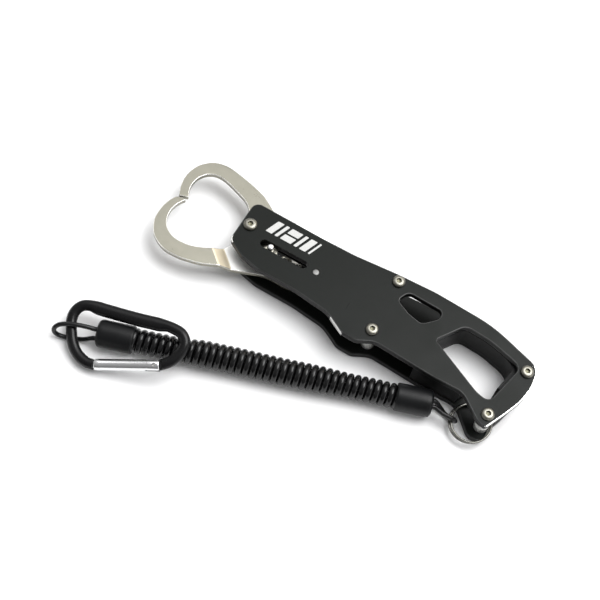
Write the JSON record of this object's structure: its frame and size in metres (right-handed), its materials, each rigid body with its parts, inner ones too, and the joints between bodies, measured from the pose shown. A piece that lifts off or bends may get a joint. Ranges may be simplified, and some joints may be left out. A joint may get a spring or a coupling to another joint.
{
  "type": "fishing lip grip",
  "caption": "Plier-style fish lip grip: two hooked jaws cammed open by a thumb trigger between side plates, with coiled lanyard and snap hook.",
  "frame": {"origin": "a point on the flat underside of the bottom plate near the middle of the grip, 38 mm behind and 13 mm below the jaw pivot axis", "axes": "+X from the jaws to the tail, +Z along the jaw pivot, out of the top plate; +Y towards the trigger edge"},
  "size_m": [0.1859, 0.1129, 0.0187],
  "materials": {
    "plate": "satin black anodised aluminium, fine bead-blast grain, thin bright edge where the chamfer has rubbed",
    "jaw": "satin ground stainless steel, slightly warm",
    "polished": "mirror polished stainless steel",
    "steel": "turned stainless steel",
    "nickel": "bright nickel plated spring wire",
    "cord": "glossy black polyurethane sleeve over a thin core",
    "filler": "black moulded filler, matte",
    "rubber": "black moulded rubber, soft sheen",
    "carabiner": "satin black coated aluminium rod",
    "alu": "polished bare aluminium",
    "spring": "drawn spring steel wire"
  },
  "bodies": {
    "grip_frame": {"bottom_plate": "plate", "top_plate": "plate", "back_spacer": "filler", "pivot_sleeve": "steel", "pivot_spacer": "steel", "pivot_spacer_lower": "steel", "standoff_mid_upper": "steel", "standoff_mid_lower": "steel", "standoff_tail_lower": "steel", "standoff_tail_upper": "steel", "guide_pin": "steel", "return_spring": "spring", "top_screw_pivot": "steel", "top_screw_mid_upper": "steel", "top_screw_mid_lower": "steel", "top_screw_tail_lower": "steel", "top_screw_tail_upper": "steel", "bottom_screw_pivot": "steel", "bottom_screw_mid_upper": "steel", "bottom_screw_mid_lower": "steel", "bottom_screw_tail_lower": "steel", "bottom_screw_tail_upper": "steel"},
    "upper_jaw_body": {"upper_jaw": "jaw"},
    "lower_jaw_body": {"lower_jaw": "jaw"},
    "trigger_body": {"trigger": "polished", "slide_pin": "polished", "slide_pin_washer": "steel", "spring_post": "steel"},
    "ring_body": {"split_ring": "nickel"},
    "lanyard_ring_end": {"cord_loop_ring": "cord", "end_cap_ring": "rubber", "coil_cord": "cord"},
    "lanyard_clip_end": {"end_cap_clip": "rubber", "cord_loop_clip": "cord"},
    "carabiner": {"carabiner_body": "carabiner", "gate_pin": "steel"},
    "gate": {"carabiner_gate": "alu", "gate_spring": "spring"}
  },
  "joints": [
    {"name": "trigger_slide", "type": "slide", "parent": "grip_frame", "child": "trigger_body", "axis": [1, 0, 0], "range_m": [0, 0.015], "stiffness_N_per_m": 400, "springref_m": -0.01, "deforming": ["return_spring"]},
    {"name": "upper_jaw_hinge", "type": "hinge", "parent": "grip_frame", "child": "upper_jaw_body", "pos_m": [-0.038, 0.013, 0.01015], "axis": [0, 0, 1], "range_deg": [-18.02, 0]},
    {"name": "lower_jaw_hinge", "type": "hinge", "parent": "grip_frame", "child": "lower_jaw_body", "pos_m": [-0.038, 0.013, 0.01015], "axis": [0, 0, 1], "range_deg": [0, 13.02]},
    {"name": "ring_swing", "type": "hinge", "parent": "grip_frame", "child": "ring_body", "pos_m": [0.0894, -0.0116, 0.00428], "axis": [0, 0, 1], "range_deg": [0, 100]},
    {"name": "lanyard_lift", "type": "hinge", "parent": "ring_body", "child": "lanyard_ring_end", "pos_m": [0.07659, -0.01548, 0.00428], "axis": [-0.2588, 0.9659, 0], "range_deg": [0, 45]},
    {"name": "lanyard_stretch", "type": "slide", "parent": "lanyard_ring_end", "child": "lanyard_clip_end", "axis": [-0.9472, -0.3205, 0], "range_m": [0, 0.5], "stiffness_N_per_m": 8, "deforming": ["coil_cord"]},
    {"name": "carabiner_flip", "type": "hinge", "parent": "lanyard_clip_end", "child": "carabiner", "pos_m": [-0.07819, -0.06531, 0.00524], "axis": [0.3792, -0.8875, -0.2618], "range_deg": [0, 110]},
    {"name": "gate_hinge", "type": "hinge", "parent": "carabiner", "child": "gate", "pos_m": [-0.03895, -0.06187, 0.00953], "axis": [0.0762, 0.312, -0.947], "range_deg": [0, 9], "stiffness_Nm_per_rad": 0.05, "springref_deg": -11.46}
  ],
  "couplings": [
    {"joint": "upper_jaw_hinge", "follows": "trigger_slide", "rad_per_m": -20.944},
    {"joint": "lower_jaw_hinge", "follows": "trigger_slide", "rad_per_m": 15.126}
  ]
}
